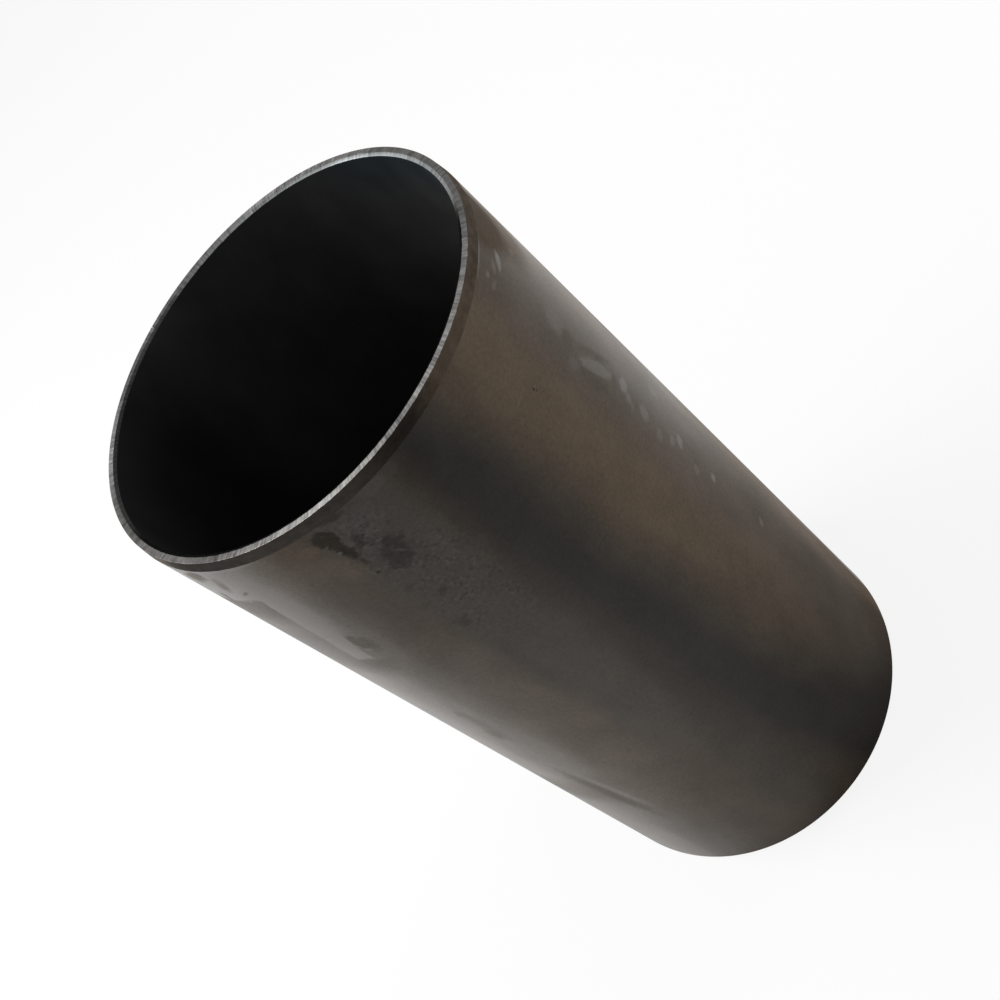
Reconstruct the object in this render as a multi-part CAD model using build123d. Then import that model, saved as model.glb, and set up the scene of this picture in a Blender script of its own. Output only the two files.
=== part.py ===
"""Dry cylinder liner: a thin turned and honed iron sleeve that is pressed into an engine block.

The liner stands on its plain end. The origin is the middle of that end's face, and +Z runs up the
bore towards the lead-in end, where a shallow outer taper starts the press fit and a wide, flat
chamfer closes the piston rings as the piston is pushed in. Sizes are in millimetres.
"""

import os

from build123d import *

# Sleeve
bore_diameter = 100.0
wall = 2.7
liner_length = 208.0

# Lead-in end, at the top
lead_in_length = 3.0
lead_in_depth = 0.4
ring_chamfer_width = 0.85
ring_chamfer_depth = 0.4

# Plain end, at the bottom
plain_outer_chamfer = 0.5
plain_inner_chamfer = 0.5

# Every turned corner is broken by this radius
corner_radius = 0.1

# A corner radius takes up to this share of the narrowest end face, at each of its two edges
corner_face_share = 0.4

bore_radius = bore_diameter / 2
outer_radius = bore_radius + wall


def end_face_widths():
    """The widths of the flat rings that are left at the two ends, the lead-in end first."""
    lead_in_face = wall - lead_in_depth - ring_chamfer_width
    plain_face = wall - plain_outer_chamfer - plain_inner_chamfer
    return lead_in_face, plain_face


def wall_section():
    """The cut through one side of the wall, in the XZ plane, with its corners broken."""
    corners = [
        (bore_radius + plain_inner_chamfer, 0),
        (outer_radius - plain_outer_chamfer, 0),
        (outer_radius, plain_outer_chamfer),
        (outer_radius, liner_length - lead_in_length),
        (outer_radius - lead_in_depth, liner_length),
        (bore_radius + ring_chamfer_width, liner_length),
        (bore_radius, liner_length - ring_chamfer_depth),
        (bore_radius, plain_inner_chamfer),
    ]
    broken = min(corner_radius, corner_face_share * min(end_face_widths()))
    with BuildSketch(Plane.XZ) as section:
        with BuildLine():
            Polyline(*corners, close=True)
        make_face()
        fillet(section.vertices(), radius=broken)
    return section.sketch


def cylinder_liner():
    """The whole sleeve, turned from its wall section about the bore's axis."""
    with BuildPart() as liner:
        add(wall_section())
        revolve(axis=Axis.Z)
    return liner.part


os.makedirs("parts", exist_ok=True)
export_step(cylinder_liner(), "parts/cylinder_liner.step")
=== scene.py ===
"""Looks of a dry cylinder liner: a thin iron sleeve, coated dark, with one end machined bright.

The sleeve stands on its plain end on a pale floor, and the camera looks down on its lead-in end from
the photographed side, -Y. Places on the sleeve are an angle and a drop. The angle runs round the bore's
axis in degrees, is 0 on the side towards the camera and grows towards -X, the photograph's lower left.
The drop is the distance below the lead-in end in millimetres. All other lengths are metres.
"""

import logging
import math
from collections.abc import Iterable, Sequence
from dataclasses import dataclass
from enum import Enum
from typing import Any

import bmesh
import bpy
from mathutils import Matrix, Vector


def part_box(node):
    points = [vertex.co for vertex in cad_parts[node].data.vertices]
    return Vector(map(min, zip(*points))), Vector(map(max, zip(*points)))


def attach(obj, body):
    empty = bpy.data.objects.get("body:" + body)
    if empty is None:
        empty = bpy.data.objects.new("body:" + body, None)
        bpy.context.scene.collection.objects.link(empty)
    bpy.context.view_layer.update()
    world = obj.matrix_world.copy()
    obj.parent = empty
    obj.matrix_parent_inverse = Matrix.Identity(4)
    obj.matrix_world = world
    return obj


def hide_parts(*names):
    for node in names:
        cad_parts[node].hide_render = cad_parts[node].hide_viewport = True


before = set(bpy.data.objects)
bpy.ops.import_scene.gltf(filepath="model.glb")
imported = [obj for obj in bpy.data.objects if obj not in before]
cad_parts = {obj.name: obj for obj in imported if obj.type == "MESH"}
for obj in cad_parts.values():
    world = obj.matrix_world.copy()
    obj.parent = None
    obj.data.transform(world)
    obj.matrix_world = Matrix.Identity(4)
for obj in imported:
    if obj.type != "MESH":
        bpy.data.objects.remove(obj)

LOG = logging.getLogger("liner")
NODE = "cylinder_liner"
BODY = "root"
MM_PER_M = 1000.0
PATTERN_MEAN = 0.5
BLACK = (0.0, 0.0, 0.0)
WHITE = (1.0, 1.0, 1.0)
UP = Vector((0.0, 0.0, 1.0))

Colour = tuple[float, float, float]
Edge = tuple[float, float]
Feed = Any


def mm(length: float) -> float:
    """Reads a length in millimetres.

    Args:
        length: The length in millimetres.

    Returns:
        The same length in metres.
    """
    return length / MM_PER_M


class Value:
    """A number on its way through a material, to which arithmetic adds Math nodes."""

    def __init__(self, sheet: "NodeSheet", socket: bpy.types.NodeSocket) -> None:
        """Wraps a socket.

        Args:
            sheet: The nodes to which arithmetic adds.
            socket: The output socket that carries the number.
        """
        self.sheet = sheet
        self.socket = socket

    def __add__(self, other: Feed) -> "Value":
        """This number plus another."""
        return self.sheet.math("ADD", self, other)

    def __sub__(self, other: Feed) -> "Value":
        """This number less another."""
        return self.sheet.math("SUBTRACT", self, other)

    def __rsub__(self, other: Feed) -> "Value":
        """Another number less this one."""
        return self.sheet.math("SUBTRACT", other, self)

    def __mul__(self, other: Feed) -> "Value":
        """This number times another."""
        return self.sheet.math("MULTIPLY", self, other)

    def __truediv__(self, other: Feed) -> "Value":
        """This number divided by another."""
        return self.sheet.math("DIVIDE", self, other)

    def __neg__(self) -> "Value":
        """This number with its sign turned."""
        return self.sheet.math("MULTIPLY", self, -1.0)

    def larger(self, other: Feed) -> "Value":
        """The larger of this number and another."""
        return self.sheet.math("MAXIMUM", self, other)

    def toward(self, other: Feed, share: Feed) -> "Value":
        """This number, moved towards another by a share of the way.

        Args:
            other: The number that it becomes at a share of 1.
            share: The share of the way, from 0 to 1.

        Returns:
            The moved number.
        """
        sockets = {"Factor": share, "A": self, "B": other}
        return self.sheet.number("ShaderNodeMix", {"data_type": "FLOAT"}, sockets, "Result")

    def rise(self, start: Feed, end: Feed) -> "Value":
        """Rises smoothly from 0 to 1 as this number passes from a start to an end.

        Args:
            start: Where the rise is still 0.
            end: Where the rise is already 1. Where it is below the start, the rise is a fall.

        Returns:
            The rise.
        """
        sockets = {"Value": self, "From Min": start, "From Max": end}
        return self.sheet.number("ShaderNodeMapRange", {"interpolation_type": "SMOOTHSTEP"}, sockets)

    def held(self) -> "Value":
        """This number, held between 0 and 1."""
        return self.sheet.number("ShaderNodeClamp", None, {"Value": self})


class NodeSheet:
    """The nodes of one material or world, all made by one method."""

    def __init__(self, owner: bpy.types.Material | bpy.types.World) -> None:
        """Empties the owner's node tree and keeps it.

        Args:
            owner: The material or world whose nodes these are.
        """
        owner.use_nodes = True
        self.tree = owner.node_tree
        self.tree.nodes.clear()

    def node(
        self,
        kind: str,
        settings: dict[str, Any] | None = None,
        sockets: dict[str | int, Feed] | None = None,
    ) -> bpy.types.Node:
        """Adds a node of any type.

        Args:
            kind: The node's type.
            settings: Its settings, which are set first.
            sockets: What feeds each input socket, by name or place: a value or a link.

        Returns:
            The new node.
        """
        made = self.tree.nodes.new(kind)
        for name, setting in (settings or {}).items():
            setattr(made, name, setting)
        for name, feed in (sockets or {}).items():
            self.feed(self.pick(made.inputs, name), feed)
        return made

    @staticmethod
    def pick(sockets: Sequence[bpy.types.NodeSocket], name: str | int) -> bpy.types.NodeSocket:
        """Finds a socket.

        Args:
            sockets: A node's inputs or outputs.
            name: The socket's name, or its place among them.

        Returns:
            The socket in use under that name, or at that place.
        """
        if isinstance(name, int):
            return sockets[name]
        return next(one for one in sockets if one.name == name and one.enabled)

    def feed(self, socket: bpy.types.NodeSocket, feed: Feed) -> None:
        """Links an input socket to what feeds it, or sets its value.

        Args:
            socket: The input socket.
            feed: A Value, an output socket, a number, a vector or a colour.
        """
        if isinstance(feed, Value):
            self.tree.links.new(feed.socket, socket)
        elif isinstance(feed, bpy.types.NodeSocket):
            self.tree.links.new(feed, socket)
        elif socket.type == "RGBA":
            socket.default_value = (*feed, 1.0)
        else:
            socket.default_value = feed

    def number(
        self,
        kind: str,
        settings: dict[str, Any] | None = None,
        sockets: dict[str | int, Feed] | None = None,
        output: str | int = 0,
    ) -> Value:
        """Adds a node and takes one of its outputs as a number.

        Args:
            kind: The node's type.
            settings: Its settings.
            sockets: What feeds its input sockets.
            output: The output's name or place.

        Returns:
            The output as a Value.
        """
        made = self.node(kind, settings, sockets)
        return Value(self, self.pick(made.outputs, output))

    def math(self, operation: str, first: Feed, second: Feed) -> Value:
        """Adds a Math node.

        Args:
            operation: The Math node's operation.
            first: Its first operand.
            second: Its second operand.

        Returns:
            The result.
        """
        return self.number("ShaderNodeMath", {"operation": operation}, {0: first, 1: second})

    def vector(self, operation: str, first: Feed, second: Feed) -> bpy.types.NodeSocket:
        """Adds a Vector Math node that gives a vector.

        Args:
            operation: The Vector Math node's operation.
            first: Its first operand.
            second: Its second operand.

        Returns:
            The resulting vector.
        """
        return self.node("ShaderNodeVectorMath", {"operation": operation}, {0: first, 1: second}).outputs[0]

    def along(self, first: Feed, second: Feed) -> Value:
        """Works out the dot product of two vectors.

        Args:
            first: The first vector.
            second: The second vector.

        Returns:
            The dot product.
        """
        settings = {"operation": "DOT_PRODUCT"}
        return self.number("ShaderNodeVectorMath", settings, {0: first, 1: second}, "Value")

    def blend(self, share: Feed, first: Feed, second: Feed) -> bpy.types.NodeSocket:
        """Blends two colours.

        Args:
            share: How much of the second colour shows.
            first: The first colour.
            second: The second colour.

        Returns:
            The blended colour.
        """
        sockets = {"Factor": share, "A": first, "B": second}
        made = self.node("ShaderNodeMix", {"data_type": "RGBA"}, sockets)
        return self.pick(made.outputs, "Result")

    def layered(self, shares: Feed, first: Feed, second: Feed) -> bpy.types.NodeSocket:
        """Blends two vectors, each part of them by its own share.

        Args:
            shares: How much of each part of the second vector shows.
            first: The first vector.
            second: The second vector.

        Returns:
            The blended vector.
        """
        sockets = {"Factor": shares, "A": first, "B": second}
        made = self.node("ShaderNodeMix", {"data_type": "VECTOR", "factor_mode": "NON_UNIFORM"}, sockets)
        return self.pick(made.outputs, "Result")

    def relief(self, height: Value, depth: float) -> bpy.types.NodeSocket:
        """Turns a height into a bumpy normal.

        Args:
            height: The height, from 0 to 1.
            depth: How far a height of 1 stands out, in metres.

        Returns:
            The normal.
        """
        return self.node("ShaderNodeBump", None, {"Height": height, "Distance": depth}).outputs[0]

    def surface(self, shader: bpy.types.Node, output: str = "ShaderNodeOutputMaterial") -> None:
        """Ends the sheet in a shader.

        Args:
            shader: The node whose shader is the surface.
            output: The output node's type.
        """
        self.node(output, None, {"Surface": shader.outputs[0]})


@dataclass(frozen=True)
class Pattern:
    """A cloudy pattern that lies mostly between 0.3 and 0.7, about a mean of a half.

    Its lumps have a size in millimetres and hold some finer layers, the detail. They can be drawn out
    along the sleeve.
    """

    lump: float
    detail: float = 2.0
    drawn_out: float = 1.0

    def on(self, at: "Places", place: bpy.types.NodeSocket | None = None) -> Value:
        """Lays the pattern over the sleeve.

        Args:
            at: Where the point lies.
            place: The coordinates that it follows, where they aren't the point's own.

        Returns:
            The pattern's level at the point.
        """
        if place is None:
            place = at.spot if self.drawn_out == 1.0 else at.drawn(self.drawn_out)
        sockets = {"Vector": place, "Scale": 1.0 / self.lump, "Detail": self.detail}
        return at.sheet.number("ShaderNodeTexNoise", {"noise_dimensions": "3D"}, sockets)


class Places:
    """Where a point lies on the sleeve, as numbers and vectors that the finishes follow."""

    def __init__(self, sheet: NodeSheet, sleeve: "Sleeve") -> None:
        """Reads the point's Object coordinates.

        Args:
            sheet: The material's nodes.
            sleeve: The sleeve on which the finish lies.
        """
        self.sheet = sheet
        spot = sheet.node("ShaderNodeTexCoord").outputs["Object"]
        self.spot = sheet.vector("MULTIPLY", spot, (MM_PER_M,) * 3)
        split = sheet.node("ShaderNodeSeparateXYZ", None, {0: self.spot})
        self.x, self.y, height = (Value(sheet, end) for end in split.outputs)
        self.angle = sheet.math("ARCTAN2", -self.x, -self.y) * math.degrees(1.0)
        self.drop = sleeve.length * MM_PER_M - height
        self.radius = sleeve.outer_radius * MM_PER_M
        self.length = sleeve.length * MM_PER_M
        arc = self.angle * math.radians(self.radius)
        self.flat = sheet.node("ShaderNodeCombineXYZ", None, {0: arc, 1: self.drop}).outputs[0]

    def drawn(self, stretch: float) -> bpy.types.NodeSocket:
        """The point in millimetres, for a pattern that is drawn out along the sleeve."""
        return self.sheet.vector("DIVIDE", self.spot, (1.0, 1.0, stretch))

    def crossing(self, lean: float) -> bpy.types.NodeSocket:
        """Moves the point in or out to the sleeve's outside, for scratches that cross an end face.

        Args:
            lean: How far a scratch leans round the ring, as a share of the way that it crosses.

        Returns:
            The coordinates in millimetres.
        """
        level = self.sheet.node("ShaderNodeCombineXYZ", None, {0: self.x, 1: self.y}).outputs[0]
        reach = self.sheet.number("ShaderNodeVectorMath", {"operation": "LENGTH"}, {0: level}, "Value")
        way = self.sheet.node("ShaderNodeVectorMath", {"operation": "NORMALIZE"}, {0: level}).outputs[0]
        edge = self.sheet.vector("MULTIPLY", way, (self.radius,) * 3)
        turn = (reach - self.radius) * (lean / self.radius)
        sockets = {"Vector": edge, "Angle": turn}
        return self.sheet.node("ShaderNodeVectorRotate", {"rotation_type": "Z_AXIS"}, sockets).outputs[0]


@dataclass(frozen=True)
class Tone:
    """How the coat looks in a band or mark. What is left out stays as it is round about.

    Brown is how much brown light the coat gives back, and gloss how strongly it shines. The third level is
    how much of it turns pale: dusty in the marks, and lit by painted highlight in bands along bright edges.
    """

    brown: float | None = None
    gloss: float | None = None
    dust_and_highlight: float | None = None

    def over(self, sheet: NodeSheet, levels: Feed, mask: Value) -> bpy.types.NodeSocket:
        """Lays the tone over the coat inside a mask.

        Args:
            sheet: The material's nodes.
            levels: A vector of how brown, glossy and pale the coat is, the paleness being dusty marks and
                painted highlight.
            mask: 1 where the tone holds, 0 where it doesn't.

        Returns:
            The changed vector.
        """
        goals = (self.brown, self.gloss, self.dust_and_highlight)
        masks = {place: mask for place, goal in enumerate(goals) if goal is not None}
        shares = sheet.node("ShaderNodeCombineXYZ", None, masks).outputs[0]
        return sheet.layered(shares, levels, tuple(goal or 0.0 for goal in goals))


@dataclass(frozen=True)
class Band:
    """A soft-edged band that runs down the sleeve, between two angles and two drops.

    On finishes other than the outside's coat, its tone is a plain number. Each blur is how far an edge
    is soft to either side. A drift is how far a side has moved at the foot of the sleeve, and a high
    bend keeps most of that near the foot. Sway is how far the sides wander with a cloudy pattern, and
    the drop share is how much of that the top and foot do.
    """

    tone: Tone | float
    start: float
    end: float
    start_blur: float = 4.0
    end_blur: float = 4.0
    top: float | None = None
    foot: float | None = None
    top_blur: float = 4.0
    foot_blur: float = 15.0
    start_drift: float = 0.0
    end_drift: float = 0.0
    drift_bend: float = 1.0
    sway: float = 10.0
    drop_share: float = 0.4

    def mask(self, at: Places, sway: Value | float = 0.0) -> Value:
        """Works out how far a point is inside the band.

        Args:
            at: Where the point lies.
            sway: A cloudy pattern about 0 that makes the band's sides wander.

        Returns:
            1 inside, 0 outside and soft between.
        """
        angle = at.angle + sway * self.sway
        drop = at.drop + sway * (self.sway * self.drop_share)
        inside = self.drifted(at, angle, self.start_drift).rise(*self.edge(self.start, self.start_blur))
        inside = inside * self.drifted(at, angle, self.end_drift).rise(*self.edge(self.end, -self.end_blur))
        if self.top is not None:
            inside = inside * drop.rise(*self.edge(self.top, self.top_blur))
        if self.foot is not None:
            inside = inside * drop.rise(*self.edge(self.foot, -self.foot_blur))
        return inside

    def drifted(self, at: Places, angle: Value, drift: float) -> Value:
        """Lets a side of the band drift on its way down.

        Args:
            at: Where the point lies.
            angle: The point's angle.
            drift: How far the side has moved at the foot of the sleeve, in degrees.

        Returns:
            The angle, less what the side has moved.
        """
        if not drift:
            return angle
        return angle - at.sheet.math("POWER", at.drop / at.length, self.drift_bend) * drift

    @staticmethod
    def edge(middle: float, blur: float) -> Edge:
        """The two ends of a blurred edge."""
        return middle - blur, middle + blur


@dataclass(frozen=True)
class Mark:
    """A spot or smear: a ragged ellipse, which leans from the sleeve's own direction by an angle.

    Its half sizes and the blur of its edge are in millimetres. Ragged is how far its edge strays, as a
    share of its smaller half size.
    """

    tone: Tone
    angle: float
    drop: float
    half_round: float
    half_along: float
    lean: float = 0.0
    blur: float = 0.35
    ragged: float = 1.2
    ragged_most: float = 2.0

    def mask(self, at: Places, fray: Value) -> Value:
        """Works out how far a point is inside the mark.

        Args:
            at: Where the point lies.
            fray: A pattern about 0 that makes the mark's edge ragged.

        Returns:
            1 inside, 0 outside and soft between.
        """
        size = min(self.half_round, self.half_along)
        centre = (math.radians(self.angle) * at.radius, self.drop, 0.0)
        lean = math.radians(self.lean)
        wide = size / self.half_round
        long = size / self.half_along
        away = at.sheet.vector("SUBTRACT", at.flat, centre)
        across = at.sheet.along(away, (wide * math.cos(lean), wide * math.sin(lean), 0.0))
        down = at.sheet.along(away, (-long * math.sin(lean), long * math.cos(lean), 0.0))
        inner = at.sheet.node("ShaderNodeCombineXYZ", None, {0: across, 1: down}).outputs[0]
        reach = at.sheet.number("ShaderNodeVectorMath", {"operation": "LENGTH"}, {0: inner}, "Value")
        blur = min(self.blur, size)
        strayed = reach + fray * (min(size, self.ragged_most) * self.ragged)
        return strayed.rise(size + blur, size - blur)


@dataclass(frozen=True)
class Finish:
    """A finish on some of the sleeve's faces."""

    name: str

    def build(self, sleeve: "Sleeve") -> bpy.types.Material:
        """Makes the finish's material.

        Args:
            sleeve: The sleeve on which it lies.

        Returns:
            The material.
        """
        material = bpy.data.materials.new(self.name)
        sheet = NodeSheet(material)
        shader = self.shader(sheet, Places(sheet, sleeve))
        sheet.surface(sheet.node("ShaderNodeBsdfPrincipled", None, shader))
        return material

    def shader(self, sheet: NodeSheet, at: Places) -> dict[str, Feed]:
        """Works out what feeds the finish's shader.

        Args:
            sheet: The material's nodes.
            at: Where a point lies on the sleeve.

        Returns:
            What feeds each of the shader's sockets.
        """
        raise NotImplementedError

    @staticmethod
    def banded(level: Value, bands: Iterable[Band], at: Places) -> Value:
        """Lays bands over a number, each with the number that it has inside.

        Args:
            level: The number where there is no band.
            bands: The bands, in the order in which they are laid.
            at: Where a point lies on the sleeve.

        Returns:
            The number over the whole finish.
        """
        for band in bands:
            level = level.toward(band.tone, band.mask(at))
        return level

    @staticmethod
    def spread(bands: Iterable[Band], at: Places, sway: Value | float = 0.0) -> Value:
        """Works out how far a point is inside the nearest of some bands.

        Args:
            bands: The bands.
            at: Where the point lies.
            sway: What makes the bands' sides wander.

        Returns:
            1 inside any of them, 0 outside all and soft between.
        """
        masks = [band.mask(at, sway) for band in bands]
        widest = masks[0]
        for mask in masks[1:]:
            widest = widest.larger(mask)
        return widest


# Tones of the coat's marks
LIGHT = Tone(gloss=0.82)
SMEAR = Tone(gloss=0.88, dust_and_highlight=0.1)
BRIGHT_SMEAR = Tone(gloss=0.95, dust_and_highlight=0.28)
SPECK = Tone(gloss=0.95, dust_and_highlight=0.3)
DULL = Tone(gloss=0.52)
DARK = Tone(gloss=0.5, brown=0.013)
PIT = Tone(brown=0.01, gloss=0.2)
SCAB = Tone(brown=0.019, gloss=0.26)

# Each band has its tone, its two angles and their blurs, then its top and foot and their blurs
# Broad bands in which the coat is browner or blacker
BROWN_BANDS = (
    Band(Tone(brown=0.102), -112.0, -61.0, 8.0, 7.0),
    Band(Tone(brown=0.09), -37.0, -5.0, 6.0, 4.0, foot=147.0, foot_blur=40.0),
    Band(Tone(brown=0.07), -36.0, -12.0, 6.0, 5.0, top=96.0, top_blur=25.0, foot=150.0, foot_blur=30.0),
    Band(Tone(brown=0.043), -57.0, -18.0, 5.0, 5.0, top=152.0, top_blur=25.0),
    Band(Tone(brown=0.068), 27.0, 51.0, 6.0, 5.0, top=82.0, top_blur=25.0, foot=160.0, foot_blur=12.0),
    Band(Tone(brown=0.047), 31.0, 51.0, 4.0, 4.0, top=20.0, top_blur=5.0, foot=48.0, foot_blur=8.0),
    Band(Tone(brown=0.044), 20.0, 58.0, 6.0, 6.0, top=176.0, top_blur=16.0),
    Band(Tone(brown=0.05), 71.0, 84.0, 3.0, 4.0),
    Band(Tone(brown=0.021), 10.0, 30.0, 8.0, 5.0, start_drift=-6.0, end_drift=-18.0, drift_bend=2.0),
    Band(Tone(brown=0.034), 8.0, 27.0, 6.0, 7.0, top=72.0, top_blur=25.0, end_drift=-10.0),
    Band(Tone(brown=0.048), 17.0, 30.0, 5.0, 6.0, top=122.0, top_blur=15.0),
    Band(Tone(brown=0.067), 55.0, 71.0, 4.0, 3.0, top=60.0, top_blur=10.0),
    Band(Tone(brown=0.01), -14.0, 8.0, 11.0, 8.0, start_drift=-28.0, end_drift=-11.0, drift_bend=4.5),
    Band(Tone(brown=0.085), 118.0, 150.0, 9.0, 8.0, start_drift=10.0, end_drift=-6.0),
    Band(Tone(brown=0.02), -158.0, -128.0, 10.0, 8.0, start_drift=-8.0, end_drift=9.0),
)

# Gloss on the photograph's upper right side
# Painted reflection and shade: these gloss levels brighten and dim the studio's reflection in lengthwise
# bands, dimmest near the edge
RIGHT_BANDS = (
    Band(Tone(gloss=0.76), -128.0, -51.0, 14.0, 7.0),
    Band(Tone(gloss=0.79), -71.0, -55.0, 4.0, 5.0, top=24.0, top_blur=6.0, foot=88.0, foot_blur=9.0),
    Band(Tone(gloss=0.38), -92.0, -75.0, 5.0, 2.5, foot=112.0, foot_blur=18.0),
    Band(Tone(gloss=0.44), -140.0, -44.0, 12.0, 6.0, top=102.0, top_blur=24.0),
    Band(Tone(gloss=0.5), -54.0, -18.0, 5.0, 6.0, foot=13.0, foot_blur=8.0),
)

# Gloss on the side towards the camera
# Painted reflection and shade: lower gloss dims the studio's reflection down the middle, higher gloss
# brightens it beside
MIDDLE_BANDS = (
    Band(Tone(gloss=0.54), -36.0, 7.5, 5.0, 4.0),
    Band(Tone(gloss=0.76), 10.0, 26.5, 4.0, 3.5, foot=128.0, foot_blur=25.0),
    Band(Tone(gloss=0.47), -3.0, 7.0, 5.0, 3.0, foot=30.0, foot_blur=20.0),
)

# Gloss on the photograph's lower left side
# Painted reflection: these gloss levels and the paler colour brighten and dim the studio's reflection,
# brightest towards the edge
LEFT_BANDS = (
    Band(Tone(gloss=0.54), 29.5, 46.0, 3.0, 3.0, foot=58.0, foot_blur=4.0),
    Band(Tone(gloss=0.66), 25.0, 46.0, 4.0, 4.0, top=60.0, top_blur=5.0, foot=152.0, foot_blur=15.0),
    Band(Tone(gloss=0.43), 29.5, 41.0, 2.0, 3.0, foot=11.0, foot_blur=3.5),
    Band(Tone(gloss=0.73), 44.5, 96.0, 4.0, 10.0),
    Band(Tone(gloss=1.0, dust_and_highlight=0.08), 50.0, 84.0, 3.5, 8.0, foot=34.0, foot_blur=5.0, sway=5.0),
    Band(Tone(gloss=0.97), 52.0, 84.0, 4.0, 8.0, top=59.0, top_blur=5.0),
    Band(Tone(gloss=0.93), 46.5, 60.0, 4.0, 3.0, top=98.0, top_blur=12.0, foot=133.0, foot_blur=7.0),
    Band(Tone(gloss=1.0, dust_and_highlight=0.12), 62.0, 77.0, 3.0, 2.0, top=70.0, top_blur=20.0),
    Band(Tone(gloss=0.7, dust_and_highlight=0.0), 51.5, 84.0, 3.0, 8.0, 138.0, 154.0, 7.0, 6.0),
    Band(Tone(gloss=0.76), 75.5, 84.0, 2.0, 3.0),
)

# Stretches over which the gloss changes towards the plain end
# Painted shade: lower gloss dims the reflection near the plain end, where the floor is shaded; the pale
# band by the edge towards +X is a painted highlight
FADES = (
    Band(Tone(gloss=0.4), -181.0, 9.0, 0.5, 7.0, top=150.0, top_blur=45.0),
    Band(Tone(gloss=0.38), 100.0, 181.0, 14.0, 0.5, top=150.0, top_blur=45.0),
    Band(Tone(gloss=0.5), 9.0, 37.0, 7.0, 8.0, top=142.0, top_blur=22.0),
    Band(Tone(gloss=0.27), -181.0, 10.0, 0.5, 10.0, top=197.0, top_blur=13.0),
    Band(Tone(gloss=0.22), -140.0, -44.0, 9.0, 8.0, top=190.0, top_blur=16.0),
    Band(Tone(gloss=1.0, dust_and_highlight=0.85), -92.0, -73.0, 5.0, 1.8, top=164.0, top_blur=22.0),
    Band(Tone(gloss=0.3), 100.0, 181.0, 14.0, 0.5, top=197.0, top_blur=13.0),
)

# The sharp-edged bright strip at the lower left and the dull strip beside it
BRIGHT_STRIP = (
    Band(Tone(gloss=1.0, dust_and_highlight=0.1), 51.5, 59.0, 3.0, 0.4, 14.0, 38.0, 3.0, 3.0, sway=7.0),
    Band(Tone(gloss=1.0, dust_and_highlight=0.12), 53.2, 59.0, 0.5, 0.4, 37.0, 50.0, 3.0, 0.5, sway=7.0),
    Band(Tone(gloss=0.6, dust_and_highlight=0.0), 59.2, 84.0, 0.4, 8.0, 18.2, 33.0, 0.8, 9.0, sway=7.0),
    Band(Tone(gloss=0.62), 49.5, 59.0, 3.0, 2.0, 51.0, 56.0, 0.8, 3.0, sway=7.0),
)

# Thin bright lines where the lead-in taper starts: painted highlights along the corner, glossier and paler
EDGE_HIGHLIGHTS = (
    Band(Tone(gloss=0.95, dust_and_highlight=0.15), -57.0, -43.0, 3.0, 4.0, 3.0, 3.4, 0.1, 0.25, sway=0.5),
    Band(Tone(gloss=1.0, dust_and_highlight=0.5), 48.0, 69.0, 6.0, 2.0, 3.0, 3.9, 0.1, 0.5, sway=0.5),
)

# Each mark has its tone, angle, drop, two half sizes, lean, blur and raggedness
# Water marks along the photograph's upper right side
RIGHT_MARKS = (
    Mark(Tone(gloss=0.4), -66.0, 14.5, 9.0, 7.5, 0.0, 4.0, 0.6),
    Mark(Tone(brown=0.06, gloss=0.18), -61.5, 3.0, 9.5, 11.5, 8.0, 2.6, 0.4),
    Mark(LIGHT, -49.5, 30.5, 2.8, 3.2, 10.0, 1.3),
    Mark(DULL, -47.8, 35.0, 2.3, 2.2, 0.0, 1.0),
    Mark(LIGHT, -42.2, 37.8, 1.6, 1.9, 30.0, 0.8),
    Mark(DULL, -50.6, 45.0, 1.1, 7.0, 17.0, 0.8),
    Mark(SMEAR, -47.0, 46.0, 1.7, 6.8, 18.0, 0.5),
    Mark(DULL, -47.5, 54.0, 2.6, 0.9, 0.0, 0.6),
    Mark(BRIGHT_SMEAR, -50.0, 58.0, 2.4, 1.5, -15.0, 0.5),
    Mark(SMEAR, -47.4, 60.2, 1.5, 1.2, -25.0, 0.5),
    Mark(LIGHT, -45.6, 61.6, 1.0, 0.6),
    Mark(SMEAR, -47.4, 67.0, 2.1, 1.9, 0.0, 0.8),
    Mark(LIGHT, -45.2, 73.7, 1.8, 1.5, -20.0, 0.6),
    Mark(SMEAR, -46.9, 79.6, 1.7, 0.9, -15.0, 0.5),
    Mark(BRIGHT_SMEAR, -49.2, 83.4, 1.9, 1.2, 10.0, 0.5),
    Mark(LIGHT, -45.0, 91.2, 1.3, 1.2, 0.0, 0.5),
    Mark(BRIGHT_SMEAR, -47.8, 99.5, 1.2, 1.1, 0.0, 0.5),
    Mark(LIGHT, -48.0, 125.0, 1.2, 1.0, 0.0, 0.7),
    Mark(SMEAR, -59.5, 74.0, 1.8, 1.9, 0.0, 1.0),
    Mark(BRIGHT_SMEAR, -51.6, 9.8, 2.4, 0.9, 14.0, 0.3),
    Mark(LIGHT, -48.4, 8.2, 1.6, 0.7, 10.0),
    Mark(SMEAR, -44.6, 6.3, 0.8, 0.5),
    Mark(LIGHT, -43.4, 8.6, 1.3, 0.6, -20.0),
    Mark(Tone(gloss=0.5), -60.0, 16.0, 1.2, 0.8, -20.0),
    Mark(DULL, -43.0, 46.0, 1.5, 5.0, 5.0, 1.2),
)

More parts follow.
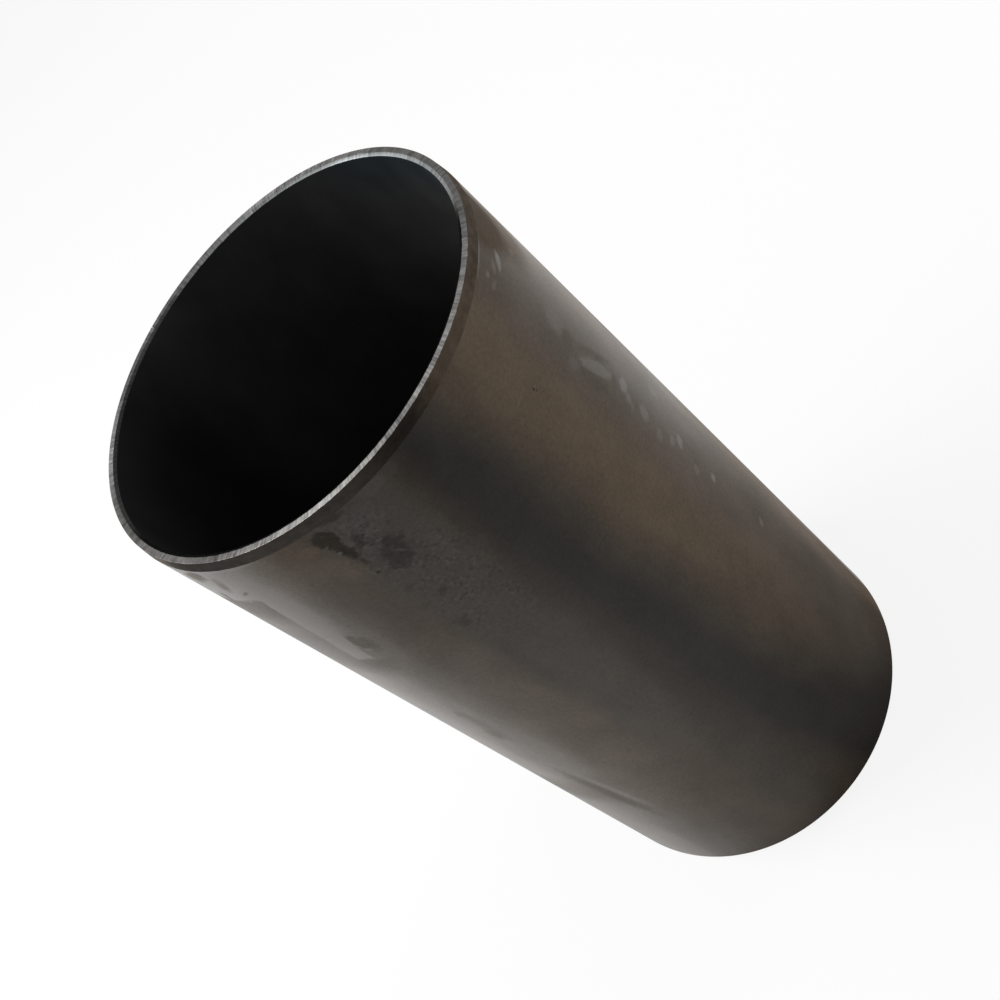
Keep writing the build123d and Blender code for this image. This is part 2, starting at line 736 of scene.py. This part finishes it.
# Pits, the dark scab and the spots round it, on the side towards the camera
MIDDLE_MARKS = (
    Mark(PIT, -28.1, 26.6, 0.22, 0.22),
    Mark(PIT, -28.4, 27.6, 0.16, 0.2),
    Mark(SPECK, -28.9, 26.7, 0.2, 0.2),
    Mark(LIGHT, -24.0, 23.8, 0.22, 2.2, 95.0),
    Mark(Tone(gloss=0.4), 1.5, 9.0, 4.0, 5.0, -20.0, 2.5),
    Mark(Tone(gloss=0.84), 11.5, 4.4, 3.2, 1.9, -8.0, 0.5),
    Mark(Tone(gloss=0.6), 6.2, 4.6, 1.7, 1.7, 0.0, 0.4),
    Mark(Tone(gloss=0.66), 7.2, 35.0, 1.5, 1.9, 0.0, 0.5),
    Mark(Tone(gloss=0.87), 19.5, 9.5, 4.2, 4.6, 15.0, 1.4),
    Mark(Tone(gloss=0.4), 22.8, 3.6, 2.6, 0.8, -8.0),
    Mark(DARK, 23.4, 12.4, 0.9, 2.2, -25.0, 0.7, 2.6),
    Mark(DARK, 20.6, 20.6, 3.3, 5.0, -14.0, 1.2, 2.9),
    Mark(DARK, 19.9, 23.6, 1.9, 1.6, 0.0, 0.9, 2.6),
    Mark(LIGHT, 22.2, 17.0, 1.1, 0.8, 0.0, 0.6),
    Mark(LIGHT, 19.4, 21.6, 0.3, 1.5, 35.0),
    Mark(SCAB, 28.0, 7.2, 2.5, 2.9, 10.0, 0.5, 1.2),
    Mark(SCAB, 27.2, 12.6, 1.3, 5.2, 4.0, 0.5, 1.8),
    Mark(LIGHT, 29.4, 9.1, 0.5, 0.25, 20.0),
    Mark(SPECK, 28.6, 12.3, 0.4, 0.3),
    Mark(LIGHT, 25.0, 12.3, 0.9, 0.5),
    Mark(PIT, 27.2, 22.7, 0.35, 0.25),
    Mark(DULL, 26.6, 31.6, 1.6, 0.9, 30.0, 0.5),
    Mark(DULL, 29.0, 38.8, 1.8, 1.1, 0.0, 0.7),
    Mark(DULL, 22.0, 38.0, 1.5, 1.0, 0.0, 0.6),
    Mark(DULL, 26.0, 49.5, 1.4, 2.2, 0.0, 0.6),
    Mark(Tone(brown=0.078, gloss=0.44), 33.2, 7.8, 2.1, 1.5, 0.0, 0.9),
    Mark(Tone(brown=0.066, gloss=0.6), 31.5, 17.5, 2.6, 4.5, 10.0, 2.2),
    Mark(DULL, 12.7, 149.0, 0.9, 0.9),
    Mark(DULL, 40.5, 192.0, 1.5, 2.0, 0.0, 1.0),
)

# Smears and dull streaks along the photograph's lower left side
LEFT_MARKS = (
    Mark(Tone(gloss=0.5, dust_and_highlight=0.02), 67.6, 6.2, 3.8, 2.2, 28.0, 0.8, 1.5),
    Mark(Tone(gloss=0.58, dust_and_highlight=0.02), 63.0, 10.6, 1.3, 3.8, -22.0, 0.8, 1.7),
    Mark(BRIGHT_SMEAR, 66.4, 14.4, 2.1, 2.9, 0.0, 0.5),
    Mark(Tone(gloss=0.5), 69.6, 16.6, 1.0, 2.0, -15.0, 0.5),
    Mark(Tone(gloss=0.66), 61.0, 19.4, 1.6, 1.7, 0.0, 0.8),
    Mark(LIGHT, 62.6, 18.0, 0.8, 0.7),
    Mark(DULL, 59.6, 14.2, 1.3, 0.4, 30.0),
    Mark(DULL, 51.2, 41.8, 1.5, 3.6, 0.0, 0.3, 0.8),
    Mark(DULL, 49.4, 43.5, 1.8, 3.2, 0.0, 1.2),
    Mark(SMEAR, 51.5, 45.7, 1.1, 0.5, -15.0),
    Mark(Tone(gloss=0.74, dust_and_highlight=0.02), 55.6, 92.0, 1.7, 10.5, 4.0, 1.3),
    Mark(SMEAR, 52.8, 91.0, 1.5, 12.0, 4.0, 0.9),
    Mark(Tone(gloss=0.68), 57.3, 100.5, 1.8, 3.2, 0.0, 1.2),
    Mark(Tone(gloss=0.72), 57.3, 86.5, 1.6, 2.2, 0.0, 1.0),
    Mark(Tone(gloss=0.54, dust_and_highlight=0.0), 53.0, 147.0, 2.1, 17.0, 12.0, 1.4, 1.0),
    Mark(Tone(gloss=0.96, dust_and_highlight=0.08), 50.2, 143.5, 1.0, 13.0, 12.0, 0.8, 1.3),
)


@dataclass(frozen=True)
class CoatedIron(Finish):
    """Dark satin coat on the outside, brown in broad bands, with water marks, smears and pits, and with
    painted reflections, highlights and shade in bands of gloss and paleness.
    """

    name: str = "coated_iron"
    oxide: Colour = (1.0, 0.68, 0.4)
    pale: Colour = (0.125, 0.12, 0.115)
    brownness: float = 0.056
    uneven_brown: float = 0.03
    gloss: float = 0.6
    uneven_gloss: float = 0.1
    coat_roughness: float = 0.3
    coat_bend: float = 1.5
    matt_roughness: float = 0.6
    cloud: Pattern = Pattern(9.0, 4.0, drawn_out=1.6)
    cloud_brown: float = 0.6
    cloud_gloss: float = 0.26
    grain: Pattern = Pattern(0.5)
    grain_brown: float = 0.3
    grain_gloss: float = 0.17
    grain_height: float = mm(0.02)
    pores: Pattern = Pattern(1.0, 3.0)
    pore_brown: float = 0.5
    pore_gloss: float = 0.2
    speck_gloss: float = 0.2
    bright_specks: Edge = (0.54, 0.66)
    dark_specks: Edge = (0.46, 0.35)
    clusters: Pattern = Pattern(4.0, 1.0)
    cluster_edge: Edge = (0.4, 0.62)
    least_cluster: float = 0.3
    sway: Pattern = Pattern(14.0, 3.0, drawn_out=2.5)
    fray: Pattern = Pattern(1.6, 3.0)
    unevenness: Pattern = Pattern(20.0, drawn_out=3.0)
    smears: Pattern = Pattern(6.0, 3.0, drawn_out=1.8)
    light_smears: Edge = (0.6, 0.66)
    dull_smears: Edge = (0.4, 0.33)
    spots: Pattern = Pattern(2.5, 0.0)
    pit_edge: Edge = (0.83, 0.86)
    bands: tuple[Band, ...] = (
        *BROWN_BANDS,
        *RIGHT_BANDS,
        *MIDDLE_BANDS,
        *LEFT_BANDS,
        *FADES,
        *BRIGHT_STRIP,
        *EDGE_HIGHLIGHTS,
    )
    marks: tuple[Mark, ...] = (*RIGHT_MARKS, *MIDDLE_MARKS, *LEFT_MARKS)
    crackle: tuple[Band, ...] = (
        Band(1.0, 9.0, 27.0, 5.0, 4.0, top=22.0, top_blur=8.0, foot=58.0, foot_blur=9.0),
        Band(1.0, 16.0, 29.5, 4.0, 2.0, top=5.0, top_blur=3.0, foot=30.0, foot_blur=6.0),
    )
    unseen: tuple[Band, ...] = (
        Band(1.0, -181.0, -88.0, 0.5, 8.0),
        Band(1.0, 88.0, 181.0, 8.0, 0.5),
    )

    def shader(self, sheet: NodeSheet, at: Places) -> dict[str, Feed]:
        """Works out what feeds the coat's shader.

        Args:
            sheet: The material's nodes.
            at: Where a point lies on the sleeve.

        Returns:
            What feeds each of the shader's sockets.
        """
        cloud = self.cloud.on(at) - PATTERN_MEAN
        grain = self.grain.on(at) - PATTERN_MEAN
        pores = self.pores.on(at)
        brownness, gloss, dust_and_highlight = self.levels(sheet, at)
        clusters = self.clusters.on(at).rise(*self.cluster_edge) + self.least_cluster
        rough = self.spread(self.crackle, at, cloud) * clusters
        specks = (pores.rise(*self.bright_specks) - pores.rise(*self.dark_specks)) * rough
        fleck = cloud * self.cloud_gloss + grain * self.grain_gloss
        fleck = fleck + (pores - PATTERN_MEAN) * self.pore_gloss + specks * self.speck_gloss + 1.0
        mottle = cloud * self.cloud_brown + grain * self.grain_brown
        mottle = mottle + (pores - PATTERN_MEAN) * self.pore_brown + 1.0
        rust = sheet.blend(brownness * mottle, BLACK, self.oxide)
        return {
            "Base Color": sheet.blend(dust_and_highlight, rust, self.pale),
            "Roughness": self.matt_roughness,
            "Specular IOR Level": 0.0,
            "Coat Weight": (gloss * fleck).held(),
            "Coat Roughness": self.coat_roughness,
            "Coat IOR": self.coat_bend,
            "Normal": sheet.relief(grain, self.grain_height),
        }

    def levels(self, sheet: NodeSheet, at: Places) -> tuple[Value, Value, Value]:
        """Lays the bands and marks over the plain coat.

        Args:
            sheet: The material's nodes.
            at: Where a point lies on the sleeve.

        Returns:
            How brown, glossy and pale the coat is there, the paleness being dusty marks and painted
            highlight.
        """
        sway = self.sway.on(at) - PATTERN_MEAN
        fray = self.fray.on(at) - PATTERN_MEAN
        uneven = self.unevenness.on(at) - PATTERN_MEAN
        start = {0: uneven * self.uneven_brown + self.brownness, 1: uneven * self.uneven_gloss + self.gloss}
        levels = sheet.node("ShaderNodeCombineXYZ", None, start).outputs[0]
        # Each mask is made just before it is used: too many waiting numbers turn the coat black
        for band in self.bands:
            levels = band.tone.over(sheet, levels, band.mask(at, sway))
        for mark in self.marks:
            levels = mark.tone.over(sheet, levels, mark.mask(at, fray))
        unseen = self.spread(self.unseen, at, sway)
        smears = self.smears.on(at)
        spots = self.spots.on(at)
        levels = LIGHT.over(sheet, levels, smears.rise(*self.light_smears) * unseen)
        levels = DULL.over(sheet, levels, smears.rise(*self.dull_smears) * unseen)
        levels = PIT.over(sheet, levels, spots.rise(*self.pit_edge) * unseen)
        brown, gloss, dust_and_highlight = sheet.node("ShaderNodeSeparateXYZ", None, {0: levels}).outputs
        return Value(sheet, brown), Value(sheet, gloss), Value(sheet, dust_and_highlight)


@dataclass(frozen=True)
class LeadInCoat(Finish):
    """Thin, dull coat on the lead-in taper, darker than the outside below it."""

    name: str = "lead_in_coat"
    oxide: Colour = (1.0, 0.75, 0.53)
    grey_oxide: Colour = (1.0, 0.86, 0.73)
    brownness: float = 0.06
    uneven_brown: float = 0.02
    gloss: float = 0.15
    uneven_gloss: float = 0.1
    coat_roughness: float = 0.5
    matt_roughness: float = 0.6
    cloud: Pattern = Pattern(2.5, 3.0, drawn_out=0.6)
    grain: Pattern = Pattern(0.5)
    grain_brown: float = 0.4
    grain_height: float = mm(0.02)
    greyed: Band = Band(1.0, 4.0, 150.0, 10.0, 15.0)
    bands: tuple[Band, ...] = (
        Band(0.042, 4.0, 80.0, 8.0, 8.0),
        Band(0.014, -10.0, 9.0, 7.0, 8.0),
        Band(0.075, -38.0, -13.0, 8.0, 4.0),
        Band(0.028, 50.0, 68.0, 8.0, 4.0),
        # Painted highlight: the brownest band, at the edge towards -X
        Band(0.12, 72.0, 95.0, 4.0, 4.0),
    )

    def shader(self, sheet: NodeSheet, at: Places) -> dict[str, Feed]:
        """Works out what feeds the coat's shader.

        Args:
            sheet: The material's nodes.
            at: Where a point lies on the sleeve.

        Returns:
            What feeds each of the shader's sockets.
        """
        cloud = self.cloud.on(at) - PATTERN_MEAN
        grain = self.grain.on(at) - PATTERN_MEAN
        brown = self.banded(cloud * self.uneven_brown + self.brownness, self.bands, at)
        brown = brown * (cloud + grain * self.grain_brown + 1.0)
        oxide = sheet.blend(self.greyed.mask(at), self.oxide, self.grey_oxide)
        return {
            "Base Color": sheet.blend(brown, BLACK, oxide),
            "Roughness": self.matt_roughness,
            "Specular IOR Level": 0.0,
            "Coat Weight": (cloud * self.uneven_gloss + self.gloss).held(),
            "Coat Roughness": self.coat_roughness,
            "Normal": sheet.relief(grain, self.grain_height),
        }


@dataclass(frozen=True)
class MachinedFace(Finish):
    """Iron faced on a lathe and dulled since, crossed by fine slanted scratches and a few bright nicks,
    with painted highlights in bands.
    """

    name: str = "machined_face"
    metal: Colour = (1.0, 0.975, 0.94)
    brightness: float = 0.07
    uneven_brightness: float = 0.06
    roughness: float = 0.3
    uneven_roughness: float = 0.2
    lean: float = 0.25
    scratches: Pattern = Pattern(0.6, 3.0)
    scratch_strength: float = 2.5
    scratch_height: float = mm(0.01)
    patches: Pattern = Pattern(2.0)
    patch_strength: float = 1.2
    least_strength: float = 0.3
    nicks: Pattern = Pattern(0.3, 0.0)
    nick_edge: Edge = (0.64, 0.7)
    nick_clusters: Pattern = Pattern(0.9, 1.0)
    cluster_edge: Edge = (0.45, 0.6)
    nick_brightness: float = 0.45
    # Painted highlights: brighter bands round the ring, where the lamps would glint on the face
    bands: tuple[Band, ...] = (
        Band(0.09, -108.0, -40.0, 8.0, 10.0),
        Band(0.095, 60.0, 84.0, 6.0, 5.0),
        Band(0.17, -46.0, 48.0, 18.0, 11.0),
        Band(0.21, -22.0, -7.0, 6.0, 5.0),
        Band(0.15, -4.0, 5.0, 4.0, 4.0),
        Band(0.3, 5.0, 31.0, 6.0, 8.0),
        Band(0.17, 112.0, 137.0, 6.0, 6.0),
        Band(0.12, -170.0, -112.0, 8.0, 6.0),
        Band(0.21, -157.0, -146.0, 2.0, 4.0),
    )
    nicked: tuple[Band, ...] = (
        Band(1.0, 120.0, 129.0, 2.0, 2.0),
        Band(1.0, 159.0, 167.0, 2.0, 2.0),
        Band(1.0, -153.0, -110.0, 3.0, 3.0),
    )

    def shader(self, sheet: NodeSheet, at: Places) -> dict[str, Feed]:
        """Works out what feeds the face's shader.

        Args:
            sheet: The material's nodes.
            at: Where a point lies on the sleeve.

        Returns:
            What feeds each of the shader's sockets.
        """
        crossing = at.crossing(self.lean)
        scratches = self.scratches.on(at, crossing)
        patches = self.patches.on(at)
        nicks = self.nicks.on(at, crossing).rise(*self.nick_edge)
        nicks = nicks * self.nick_clusters.on(at).rise(*self.cluster_edge) * self.spread(self.nicked, at)
        plain = patches * self.uneven_brightness + (self.brightness - self.uneven_brightness * PATTERN_MEAN)
        streaks = (scratches - PATTERN_MEAN) * self.scratch_strength
        streaks = streaks + (patches - PATTERN_MEAN) * self.patch_strength + 1.0
        bright = self.banded(plain, self.bands, at) * streaks.larger(self.least_strength)
        bright = bright.toward(self.nick_brightness, nicks)
        return {
            "Base Color": sheet.blend(bright.held(), BLACK, self.metal),
            "Metallic": 1.0,
            "Roughness": (patches * self.uneven_roughness + self.roughness).held(),
            "Normal": sheet.relief(scratches, self.scratch_height),
        }


@dataclass(frozen=True)
class RingChamfer(Finish):
    """Chamfer inside the lead-in end, bare metal on one side and coated dark elsewhere, with painted
    highlights in bright bands and a tint of painted bluish light on the bare side.
    """

    name: str = "ring_chamfer"
    # Painted light: the bluish tint of the bare side
    metal: Colour = (0.94, 0.985, 1.0)
    brightness: float = 0.022
    uneven_brightness: float = 0.01
    roughness: float = 0.3
    uneven_roughness: float = 0.2
    lean: float = 0.1
    streaks: Pattern = Pattern(0.6, 3.0)
    streak_height: float = mm(0.01)
    # Painted highlights: the brighter bands on the bare side, where the key lamp would glint
    bands: tuple[Band, ...] = (
        Band(0.006, -60.0, 90.0, 5.0, 8.0),
        Band(0.11, -181.0, -153.5, 0.5, 0.3),
        Band(0.07, -153.5, -126.0, 0.3, 6.0),
        Band(0.13, -126.0, -108.0, 6.0, 6.0),
        Band(0.17, -108.0, -66.0, 6.0, 5.0),
        Band(0.038, 150.0, 181.0, 8.0, 0.5),
        Band(0.09, 175.0, 181.0, 4.0, 0.5),
    )
    coated: Band = Band(1.0, -62.0, 94.0, 5.0, 10.0)

    def shader(self, sheet: NodeSheet, at: Places) -> dict[str, Feed]:
        """Works out what feeds the chamfer's shader.

        Args:
            sheet: The material's nodes.
            at: Where a point lies on the sleeve.

        Returns:
            What feeds each of the shader's sockets.
        """
        streaks = self.streaks.on(at, at.crossing(self.lean))
        plain = streaks * self.uneven_brightness + (self.brightness - self.uneven_brightness * PATTERN_MEAN)
        bright = self.banded(plain, self.bands, at) * (streaks * (1.0 / PATTERN_MEAN))
        return {
            "Base Color": sheet.blend(bright.held(), BLACK, self.metal),
            "Metallic": 1.0 - self.coated.mask(at),
            "Specular IOR Level": 0.0,
            "Roughness": (streaks * self.uneven_roughness + self.roughness).held(),
            "Normal": sheet.relief(streaks, self.streak_height),
        }


@dataclass(frozen=True)
class DarkBore(Finish):
    """Bore with a near-black coat over its honing marks, painted darker as shade on the side towards -X and
    paler and bluish as light near the top on the side towards +X.
    """

    name: str = "dark_bore"
    tint: Colour = (1.0, 1.0, 0.99)
    painted_light_tint: Colour = (0.66, 0.88, 1.0)
    darkness: float = 0.024
    shaded_darkness: float = 0.007
    # Painted shade: darker on the side towards -X
    shaded: Band = Band(1.0, 56.0, 150.0, 15.0, 15.0)
    # Painted light: a paler bluish patch near the top on the side towards +X
    bluish: Band = Band(1.0, -128.0, -84.0, 8.0, 8.0, foot=9.0, foot_blur=8.0, sway=30.0)
    smudges: Pattern = Pattern(12.0, 4.0, drawn_out=1.5)
    least_smudge: float = 0.3
    honing: Pattern = Pattern(0.4)
    honing_strength: float = 0.4
    honing_height: float = mm(0.005)
    roughness: float = 0.5
    uneven_roughness: float = 0.2
    shine: float = 0.1

    def shader(self, sheet: NodeSheet, at: Places) -> dict[str, Feed]:
        """Works out what feeds the bore's shader.

        Args:
            sheet: The material's nodes.
            at: Where a point lies on the sleeve.

        Returns:
            What feeds each of the shader's sockets.
        """
        smudges = self.smudges.on(at)
        honing = self.honing.on(at)
        level = self.shaded.mask(at) * (self.shaded_darkness - self.darkness) + self.darkness
        level = level * (smudges + honing * self.honing_strength + self.least_smudge)
        tint = sheet.blend(self.bluish.mask(at, smudges - PATTERN_MEAN), self.tint, self.painted_light_tint)
        return {
            "Base Color": sheet.blend(level, BLACK, tint),
            "Roughness": (smudges * self.uneven_roughness + self.roughness).held(),
            "Specular IOR Level": self.shine,
            "Normal": sheet.relief(honing, self.honing_height),
        }


class Zone(Enum):
    """The sleeve's faces by finish, in the order of its material slots."""

    COAT = 0
    LEAD_IN = 1
    LEAD_IN_FACE = 2
    RING_CHAMFER = 3
    BORE = 4
    PLAIN_FACE = 5


@dataclass
class Sleeve:
    """The liner's sleeve, turned from the cut through its wall."""

    outer_radius: float
    length: float
    wall: float = mm(2.7)
    lead_in_length: float = mm(3.0)
    lead_in_depth: float = mm(0.4)
    ring_chamfer_width: float = mm(0.85)
    ring_chamfer_depth: float = mm(0.4)
    plain_chamfer: float = mm(0.5)
    corner_radius: float = mm(0.1)
    corner_segments: int = 3
    corner_profile: float = 0.5
    steps_round: int = 720
    merge_gap: float = mm(0.001)

    def cut(self) -> list[tuple[Zone, float, float]]:
        """Lists the corners of the cut through the wall, going round it from the foot of the bore.

        Returns:
            For each corner, the zone of the face that starts there, its radius and its height.
        """
        bore = self.outer_radius - self.wall
        outer = self.outer_radius
        top = self.length
        return [
            (Zone.PLAIN_FACE, bore + self.plain_chamfer, 0.0),
            (Zone.PLAIN_FACE, outer - self.plain_chamfer, 0.0),
            (Zone.COAT, outer, self.plain_chamfer),
            (Zone.LEAD_IN, outer, top - self.lead_in_length),
            (Zone.LEAD_IN_FACE, outer - self.lead_in_depth, top),
            (Zone.RING_CHAMFER, bore + self.ring_chamfer_width, top),
            (Zone.BORE, bore, top - self.ring_chamfer_depth),
            (Zone.PLAIN_FACE, bore, self.plain_chamfer),
        ]

    def spun(self) -> bmesh.types.BMesh:
        """Spins the cut round the bore's axis, one stretch of it at a time.

        Returns:
            The closed sleeve with sharp corners, its faces in their zones.
        """
        bm = bmesh.new()
        corners = self.cut()
        for place, (zone, radius, height) in enumerate(corners):
            _, last_radius, last_height = corners[(place + 1) % len(corners)]
            ends = [bm.verts.new((0.0, -radius, height)), bm.verts.new((0.0, -last_radius, last_height))]
            known = set(bm.faces)
            bmesh.ops.spin(
                bm,
                geom=[*ends, bm.edges.new(ends)],
                cent=(0.0, 0.0, 0.0),
                axis=UP,
                angle=math.tau,
                steps=self.steps_round,
                use_merge=True,
            )
            for face in set(bm.faces) - known:
                face.material_index = zone.value
        bmesh.ops.remove_doubles(bm, verts=bm.verts, dist=self.merge_gap)
        return bm

    def corner_rings(self, bm: bmesh.types.BMesh) -> list[bmesh.types.BMEdge]:
        """The edges that run round the sleeve at its turned corners."""
        return [edge for edge in bm.edges if self.is_round(*(end.co for end in edge.verts))]

    def is_round(self, first: Vector, second: Vector) -> bool:
        """Tells whether two ends lie on one circle about the bore's axis.

        Args:
            first: One end.
            second: The other end.

        Returns:
            Whether their heights and their distances from the axis are the same.
        """
        level = abs(first.z - second.z) < self.merge_gap
        return level and abs(first.xy.length - second.xy.length) < self.merge_gap

    def build(self) -> bpy.types.Object:
        """Builds the sleeve and breaks its corners.

        Returns:
            The sleeve, without its finishes.
        """
        bm = self.spun()
        bmesh.ops.recalc_face_normals(bm, faces=bm.faces)
        bmesh.ops.bevel(
            bm,
            geom=self.corner_rings(bm),
            offset=self.corner_radius,
            offset_type="OFFSET",
            segments=self.corner_segments,
            profile=self.corner_profile,
            affect="EDGES",
            material=-1,
        )
        for face in bm.faces:
            face.smooth = True
        mesh = bpy.data.meshes.new("liner_sleeve")
        bm.to_mesh(mesh)
        bm.free()
        piece = bpy.data.objects.new("liner_sleeve", mesh)
        bpy.context.scene.collection.objects.link(piece)
        piece.modifiers.new("even_shading", "WEIGHTED_NORMAL")
        return piece

    def dress(self, piece: bpy.types.Object) -> None:
        """Gives each zone its finish.

        Args:
            piece: The built sleeve.
        """
        finishes = {
            Zone.COAT: CoatedIron(),
            Zone.LEAD_IN: LeadInCoat(),
            Zone.LEAD_IN_FACE: MachinedFace(),
            Zone.RING_CHAMFER: RingChamfer(),
            Zone.BORE: DarkBore(),
            Zone.PLAIN_FACE: MachinedFace(name="plain_face"),
        }
        for zone in Zone:
            piece.data.materials.append(finishes[zone].build(self))


def direction(azimuth: float, elevation: float) -> Vector:
    """Points away from the object.

    Args:
        azimuth: Degrees from the photographed side, -Y, towards -X.
        elevation: Degrees above the floor.

    Returns:
        The unit vector.
    """
    turn = math.radians(azimuth)
    rise = math.radians(elevation)
    return Vector((-math.sin(turn) * math.cos(rise), -math.cos(turn) * math.cos(rise), math.sin(rise)))


@dataclass(frozen=True)
class Softbox:
    """A square area lamp that faces the object."""

    name: str
    azimuth: float
    elevation: float
    distance: float
    size: float
    watts: float

    def build(self, aim: Vector) -> None:
        """Places the lamp.

        Args:
            aim: The point that it faces.
        """
        lamp = bpy.data.lights.new(self.name, "AREA")
        lamp.size = self.size
        lamp.energy = self.watts
        stand = bpy.data.objects.new(self.name, lamp)
        way = direction(self.azimuth, self.elevation)
        stand.location = aim + self.distance * way
        stand.rotation_euler = way.to_track_quat("Z", "Y").to_euler()
        bpy.context.scene.collection.objects.link(stand)


@dataclass(frozen=True)
class Studio:
    """A white floor and world, which the camera and the sleeve's gloss see as white, and two lamps."""

    floor_radius: float = 4.0
    floor_steps: int = 96
    floor_colour: Colour = (0.9, 0.9, 0.9)
    glow_share: float = 0.85
    glossy_share: float = 0.15
    world_strength: float = 0.45
    lamp_aim_height: float = mm(50.0)
    lamps: tuple[Softbox, ...] = (
        Softbox("key", 125.0, 52.0, 0.9, 0.45, 6.0),
        Softbox("fill", -95.0, 15.0, 1.0, 0.4, 3.0),
    )

    def build(self) -> None:
        """Builds the floor, the world and the lamps."""
        self.build_floor()
        self.build_world()
        for lamp in self.lamps:
            lamp.build(self.lamp_aim_height * UP)
        bpy.context.scene.view_settings.view_transform = "Standard"

    @staticmethod
    def looks(sheet: NodeSheet) -> tuple[Value, ...]:
        """Tells what looks at the surface.

        Args:
            sheet: The floor's or world's nodes.

        Returns:
            1 or 0 each for the camera, for gloss and for what shows through clear material.
        """
        path = sheet.node("ShaderNodeLightPath")
        rays = ("Is Camera Ray", "Is Glossy Ray", "Is Transmission Ray")
        return tuple(Value(sheet, path.outputs[ray]) for ray in rays)

    def build_floor(self) -> None:
        """Builds the floor, which keeps a pale shadow where the camera sees it."""
        bm = bmesh.new()
        bmesh.ops.create_circle(bm, cap_ends=True, radius=self.floor_radius, segments=self.floor_steps)
        mesh = bpy.data.meshes.new("floor")
        bm.to_mesh(mesh)
        bm.free()
        floor = bpy.data.objects.new("floor", mesh)
        bpy.context.scene.collection.objects.link(floor)
        material = bpy.data.materials.new("floor")
        sheet = NodeSheet(material)
        camera, gloss, clear = self.looks(sheet)
        seen = camera + gloss * self.glossy_share + clear
        matt = sheet.node("ShaderNodeBsdfDiffuse", None, {"Color": self.floor_colour})
        glow = sheet.node("ShaderNodeEmission", None, {"Color": WHITE, "Strength": 1.0})
        shares = {0: seen * self.glow_share, 1: matt.outputs[0], 2: glow.outputs[0]}
        sheet.surface(sheet.node("ShaderNodeMixShader", None, shares))
        mesh.materials.append(material)

    def build_world(self) -> None:
        """Builds the world, which is white where it is seen and softer where it only lights."""
        world = bpy.data.worlds.new("studio")
        bpy.context.scene.world = world
        sheet = NodeSheet(world)
        camera, gloss, clear = self.looks(sheet)
        seen = camera + gloss + clear
        strength = seen * (1.0 - self.world_strength) + self.world_strength
        sky = sheet.node("ShaderNodeBackground", None, {"Color": WHITE, "Strength": strength})
        sheet.surface(sky, "ShaderNodeOutputWorld")


@dataclass(frozen=True)
class PhotoCamera:
    """The photograph's camera, which looks down on the lead-in end and is turned about its own axis."""

    lens: float = 51.386
    sensor: float = 36.0
    azimuth: float = 0.6456
    elevation: float = 42.2117
    roll: float = 52.469
    distance: float = mm(363.4)
    aim_right: float = mm(3.058)
    aim_back: float = mm(0.085)
    aim_below_top: float = mm(79.9)

    def build(self, sleeve: Sleeve) -> None:
        """Places the camera and makes it the scene's.

        Args:
            sleeve: The sleeve that it looks at.
        """
        back = direction(self.azimuth, self.elevation)
        level = UP.cross(back).normalized()
        tip = back.cross(level)
        turn = math.radians(self.roll)
        right = math.cos(turn) * level - math.sin(turn) * tip
        up = math.sin(turn) * level + math.cos(turn) * tip
        lens = bpy.data.cameras.new("photo_camera")
        lens.lens = self.lens
        lens.sensor_width = self.sensor
        eye = bpy.data.objects.new("photo_camera", lens)
        aim = Vector((self.aim_right, self.aim_back, sleeve.length - self.aim_below_top))
        turned = Matrix((right, up, back)).transposed().to_4x4()
        eye.matrix_world = Matrix.Translation(aim + self.distance * back) @ turned
        bpy.context.scene.collection.objects.link(eye)
        bpy.context.scene.camera = eye


def corners(box: Iterable[Iterable[float]]) -> list[list[float]]:
    """Turns a box's corners into plain lists of numbers."""
    return [list(corner) for corner in box]


def main() -> None:
    """Builds the sleeve, the studio and the camera, and reports the sleeve's faces and finishes."""
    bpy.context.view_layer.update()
    low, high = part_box(NODE)
    sleeve = Sleeve(outer_radius=min(*high.xy, *-low.xy), length=high.z - low.z)
    piece = sleeve.build()
    sleeve.dress(piece)
    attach(piece, BODY)
    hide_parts(NODE)
    LOG.info("%s: %d faces, %d finishes", piece.name, len(piece.data.polygons), len(piece.data.materials))
    Studio().build()
    PhotoCamera().build(sleeve)


if __name__ == "__main__":
    logging.basicConfig(level=logging.INFO, format="%(name)s: %(message)s")
    main()
